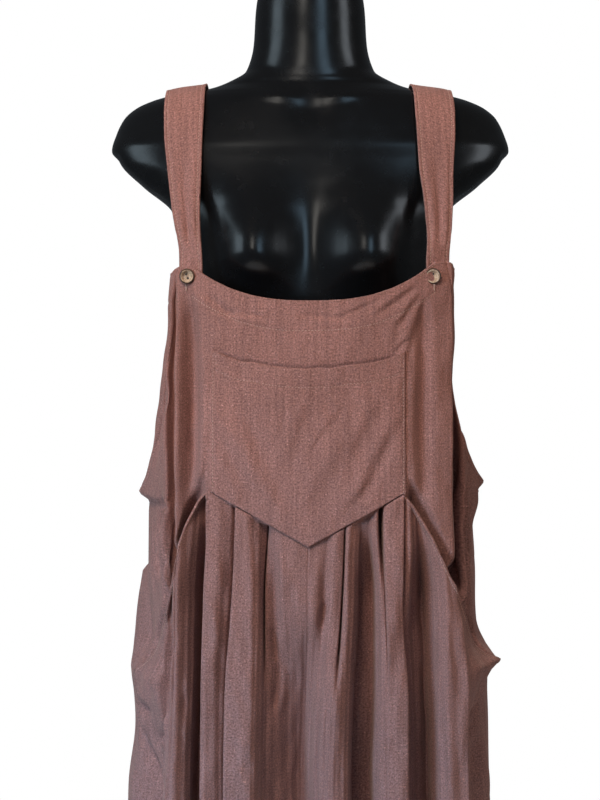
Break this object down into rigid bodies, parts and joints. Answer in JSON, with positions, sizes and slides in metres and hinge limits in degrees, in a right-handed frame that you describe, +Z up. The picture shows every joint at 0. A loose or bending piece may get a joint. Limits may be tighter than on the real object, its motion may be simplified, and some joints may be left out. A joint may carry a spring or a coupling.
{
  "type": "overalls on a dress form",
  "caption": "Loose wide-leg bib overalls with pleats below a pointed waist seam and buttoned straps, worn by a limbless gloss dress form on a round-based stand.",
  "frame": {"origin": "on the floor, at the middle of the whole part's box seen from above, under the stand's round base", "axes": "+Z up, -Y the way the front of the garment faces, +X to the right as seen from the front"},
  "size_m": [0.4386, 0.35, 1.532],
  "materials": {
    "linen": "dusty brown-rose linen weave, matt, with pale slubs",
    "coconut": "polished coconut shell, tan with dark flecks",
    "gloss_black": "gloss black moulded plastic",
    "steel": "satin steel"
  },
  "bodies": {
    "root": {"bib_front": "linen", "bib_pocket": "linen", "bib_back": "linen", "leg_front_left": "linen", "leg_front_right": "linen", "leg_back_left": "linen", "leg_back_right": "linen", "strap_left": "linen", "strap_right": "linen", "button_left": "coconut", "button_right": "coconut", "form_torso": "gloss_black", "form_socket": "steel", "stand_pole": "steel", "stand_collar": "steel", "stand_base": "steel"}
  },
  "joints": []
}
